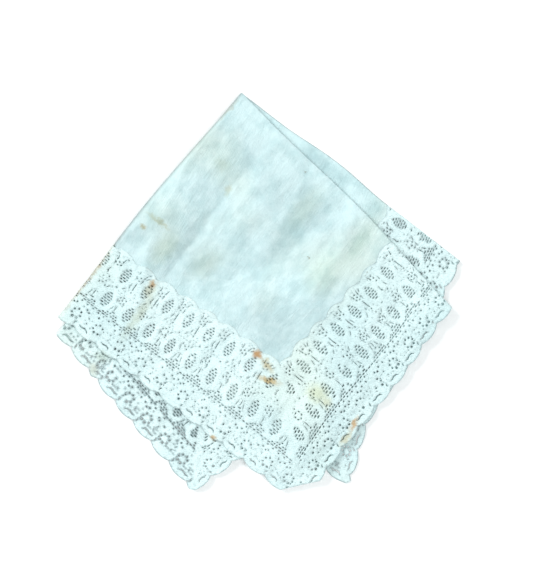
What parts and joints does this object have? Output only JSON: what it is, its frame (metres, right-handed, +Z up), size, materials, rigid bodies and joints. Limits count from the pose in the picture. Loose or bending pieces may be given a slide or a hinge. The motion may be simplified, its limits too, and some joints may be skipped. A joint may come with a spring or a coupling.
{
  "type": "lace-edged handkerchief folded in quarters",
  "caption": "Thin square handkerchief of fine cloth with a deep scalloped lace border, folded flat in layers with its corners fanned out.",
  "frame": {"origin": "on the surface that the handkerchief lies on, under the middle of its folded outline", "axes": "+Z up, square to the layers; +Y towards the folded corner where both folds cross; +X to the right of it, seen from above"},
  "size_m": [0.2108, 0.2072, 0.0071],
  "materials": {
    "cloth": "fine plain-woven cotton, slightly sheer, aged, matte",
    "lace": "machine-made cotton lace with solid leaves on an open net, matte"
  },
  "bodies": {
    "root": {"centre_cloth": "cloth", "lace_right_upper": "lace", "lace_right_lower": "lace", "lace_left_inner": "lace", "lace_left_outer": "lace"}
  },
  "joints": []
}
